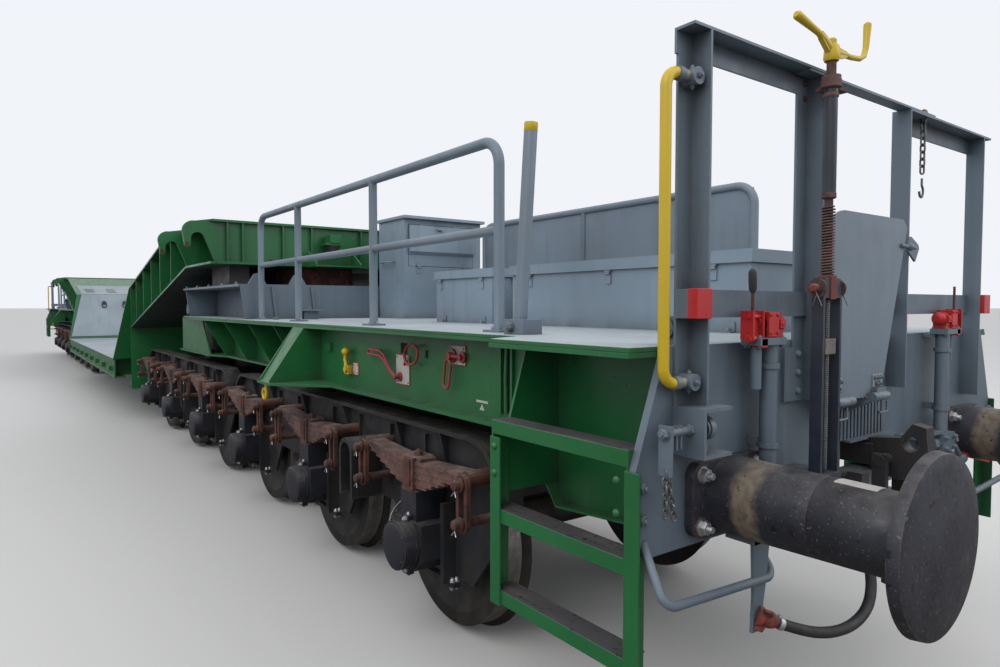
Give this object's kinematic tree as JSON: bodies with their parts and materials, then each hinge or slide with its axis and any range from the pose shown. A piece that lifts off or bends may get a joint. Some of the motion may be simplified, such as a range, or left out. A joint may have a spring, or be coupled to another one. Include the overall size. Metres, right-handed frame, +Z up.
{
  "type": "heavy-duty well wagon",
  "caption": "Low-floor railway wagon for heavy loads: a well bridge between two hooked goosenecks, on swivelling end frames with sprung bogies.",
  "frame": {"origin": "middle of the wagon at the lowest point of the wheel flanges", "axes": "+X along the track to end a, +Y across the track, +Z up"},
  "size_m": [27.74, 2.74, 2.5868],
  "materials": {
    "bogie_black": "satin black paint with dust",
    "pump_red": "red enamel",
    "hose_rubber": "black rubber",
    "slate_grey": "satin slate grey paint",
    "buffer_black": "black paint with grease",
    "light_grey": "satin light grey paint",
    "deck_grey": "matt non-slip grey",
    "dark_iron": "dark greased steel",
    "frame_green": "semi-gloss green paint",
    "rail_grey": "satin grey paint",
    "spring_rust": "rust brown",
    "well_green": "semi-gloss green paint",
    "wheel_steel": "dull rolled steel"
  },
  "bodies": {
    "well_bridge": {"well_floor": "well_green", "gooseneck_a": "frame_green", "gooseneck_b": "frame_green", "cover_plate_a": "light_grey", "cover_plate_b": "light_grey"},
    "end_frame_a": {"end_frame_a": "frame_green", "deck_a": "deck_grey", "headstock_a": "slate_grey", "buffers_a": "buffer_black", "draw_gear_a": "dark_iron", "steps_a": "frame_green", "pedestal_a": "slate_grey", "railings_a": "rail_grey", "chests_a": "slate_grey", "cabinet_a": "slate_grey", "handbrake_a": "dark_iron", "brake_fittings_a": "pump_red", "brake_hose_a": "hose_rubber"},
    "bogie_a1": {"bogie_frame_1_a": "bogie_black", "springs_1_a": "spring_rust"},
    "wheelset_a1": {"wheelset_a1": "wheel_steel"},
    "wheelset_a2": {"wheelset_a2": "wheel_steel"},
    "wheelset_a3": {"wheelset_a3": "wheel_steel"},
    "bogie_a2": {"bogie_frame_2_a": "bogie_black", "springs_2_a": "spring_rust"},
    "wheelset_a4": {"wheelset_a4": "wheel_steel"},
    "wheelset_a5": {"wheelset_a5": "wheel_steel"},
    "wheelset_a6": {"wheelset_a6": "wheel_steel"},
    "long_chest_lid_a": {"long_chest_lid_a": "slate_grey"},
    "small_chest_lid_a": {"small_chest_lid_a": "slate_grey"},
    "cabinet_flap_a": {"cabinet_flap_a": "slate_grey"},
    "bridge_plate_a": {"bridge_plate_a": "slate_grey"},
    "end_frame_b": {"end_frame_b": "frame_green", "deck_b": "deck_grey", "headstock_b": "slate_grey", "buffers_b": "buffer_black", "draw_gear_b": "dark_iron", "steps_b": "frame_green", "pedestal_b": "slate_grey", "railings_b": "rail_grey", "chests_b": "slate_grey", "cabinet_b": "slate_grey", "handbrake_b": "dark_iron", "brake_fittings_b": "pump_red", "brake_hose_b": "hose_rubber"},
    "bogie_b1": {"bogie_frame_1_b": "bogie_black", "springs_1_b": "spring_rust"},
    "wheelset_b1": {"wheelset_b1": "wheel_steel"},
    "wheelset_b2": {"wheelset_b2": "wheel_steel"},
    "wheelset_b3": {"wheelset_b3": "wheel_steel"},
    "bogie_b2": {"bogie_frame_2_b": "bogie_black", "springs_2_b": "spring_rust"},
    "wheelset_b4": {"wheelset_b4": "wheel_steel"},
    "wheelset_b5": {"wheelset_b5": "wheel_steel"},
    "wheelset_b6": {"wheelset_b6": "wheel_steel"},
    "long_chest_lid_b": {"long_chest_lid_b": "slate_grey"},
    "small_chest_lid_b": {"small_chest_lid_b": "slate_grey"},
    "cabinet_flap_b": {"cabinet_flap_b": "slate_grey"},
    "bridge_plate_b": {"bridge_plate_b": "slate_grey"}
  },
  "joints": [
    {"name": "end_frame_a_swivel", "type": "hinge", "parent": "well_bridge", "child": "end_frame_a", "pos_m": [7.7, 0, 1.9], "axis": [0, 0, 1], "range_deg": [-3, 3]},
    {"name": "bogie_a1_swivel", "type": "hinge", "parent": "end_frame_a", "child": "bogie_a1", "pos_m": [10.2, 0, 1.05], "axis": [0, 0, 1], "range_deg": [-1.8, 1.8]},
    {"name": "wheelset_a1_spin", "type": "hinge", "parent": "bogie_a1", "child": "wheelset_a1", "pos_m": [11.6, 0, 0.49], "axis": [0, 1, 0], "continuous": true},
    {"name": "wheelset_a2_spin", "type": "hinge", "parent": "bogie_a1", "child": "wheelset_a2", "pos_m": [10.2, 0, 0.49], "axis": [0, 1, 0], "continuous": true},
    {"name": "wheelset_a3_spin", "type": "hinge", "parent": "bogie_a1", "child": "wheelset_a3", "pos_m": [8.8, 0, 0.49], "axis": [0, 1, 0], "continuous": true},
    {"name": "bogie_a2_swivel", "type": "hinge", "parent": "end_frame_a", "child": "bogie_a2", "pos_m": [6, 0, 1.05], "axis": [0, 0, 1], "range_deg": [-1.8, 1.8]},
    {"name": "wheelset_a4_spin", "type": "hinge", "parent": "bogie_a2", "child": "wheelset_a4", "pos_m": [7.4, 0, 0.49], "axis": [0, 1, 0], "continuous": true},
    {"name": "wheelset_a5_spin", "type": "hinge", "parent": "bogie_a2", "child": "wheelset_a5", "pos_m": [6, 0, 0.49], "axis": [0, 1, 0], "continuous": true},
    {"name": "wheelset_a6_spin", "type": "hinge", "parent": "bogie_a2", "child": "wheelset_a6", "pos_m": [4.6, 0, 0.49], "axis": [0, 1, 0], "continuous": true},
    {"name": "long_chest_lid_a_hinge", "type": "hinge", "parent": "end_frame_a", "child": "long_chest_lid_a", "pos_m": [12.055, 0.5835, 1.825], "axis": [-1, 0, 0], "range_deg": [0, 95]},
    {"name": "small_chest_lid_a_hinge", "type": "hinge", "parent": "end_frame_a", "child": "small_chest_lid_a", "pos_m": [10.705, 0.5835, 1.825], "axis": [-1, 0, 0], "range_deg": [0, 95]},
    {"name": "cabinet_flap_a_hinge", "type": "hinge", "parent": "end_frame_a", "child": "cabinet_flap_a", "pos_m": [9.2565, 0.5775, 2.35], "axis": [0, -1, 0], "range_deg": [0, 90]},
    {"name": "bridge_plate_a_hinge", "type": "hinge", "parent": "end_frame_a", "child": "bridge_plate_a", "pos_m": [13.358, -0.231, 1.32], "axis": [0, 1, 0], "range_deg": [0, 90]},
    {"name": "end_frame_b_swivel", "type": "hinge", "parent": "well_bridge", "child": "end_frame_b", "pos_m": [-7.7, 0, 1.9], "axis": [0, 0, 1], "range_deg": [-3, 3]},
    {"name": "bogie_b1_swivel", "type": "hinge", "parent": "end_frame_b", "child": "bogie_b1", "pos_m": [-10.2, 0, 1.05], "axis": [0, 0, 1], "range_deg": [-1.8, 1.8]},
    {"name": "wheelset_b1_spin", "type": "hinge", "parent": "bogie_b1", "child": "wheelset_b1", "pos_m": [-11.6, 0, 0.49], "axis": [0, 1, 0], "continuous": true},
    {"name": "wheelset_b2_spin", "type": "hinge", "parent": "bogie_b1", "child": "wheelset_b2", "pos_m": [-10.2, 0, 0.49], "axis": [0, 1, 0], "continuous": true},
    {"name": "wheelset_b3_spin", "type": "hinge", "parent": "bogie_b1", "child": "wheelset_b3", "pos_m": [-8.8, 0, 0.49], "axis": [0, 1, 0], "continuous": true},
    {"name": "bogie_b2_swivel", "type": "hinge", "parent": "end_frame_b", "child": "bogie_b2", "pos_m": [-6, 0, 1.05], "axis": [0, 0, 1], "range_deg": [-1.8, 1.8]},
    {"name": "wheelset_b4_spin", "type": "hinge", "parent": "bogie_b2", "child": "wheelset_b4", "pos_m": [-7.4, 0, 0.49], "axis": [0, 1, 0], "continuous": true},
    {"name": "wheelset_b5_spin", "type": "hinge", "parent": "bogie_b2", "child": "wheelset_b5", "pos_m": [-6, 0, 0.49], "axis": [0, 1, 0], "continuous": true},
    {"name": "wheelset_b6_spin", "type": "hinge", "parent": "bogie_b2", "child": "wheelset_b6", "pos_m": [-4.6, 0, 0.49], "axis": [0, 1, 0], "continuous": true},
    {"name": "long_chest_lid_b_hinge", "type": "hinge", "parent": "end_frame_b", "child": "long_chest_lid_b", "pos_m": [-12.055, 0.5835, 1.825], "axis": [-1, 0, 0], "range_deg": [0, 95]},
    {"name": "small_chest_lid_b_hinge", "type": "hinge", "parent": "end_frame_b", "child": "small_chest_lid_b", "pos_m": [-10.705, 0.5835, 1.825], "axis": [-1, 0, 0], "range_deg": [0, 95]},
    {"name": "cabinet_flap_b_hinge", "type": "hinge", "parent": "end_frame_b", "child": "cabinet_flap_b", "pos_m": [-9.2565, 0.5775, 2.35], "axis": [0, 1, 0], "range_deg": [0, 90]},
    {"name": "bridge_plate_b_hinge", "type": "hinge", "parent": "end_frame_b", "child": "bridge_plate_b", "pos_m": [-13.358, -0.231, 1.32], "axis": [0, -1, 0], "range_deg": [0, 90]}
  ]
}
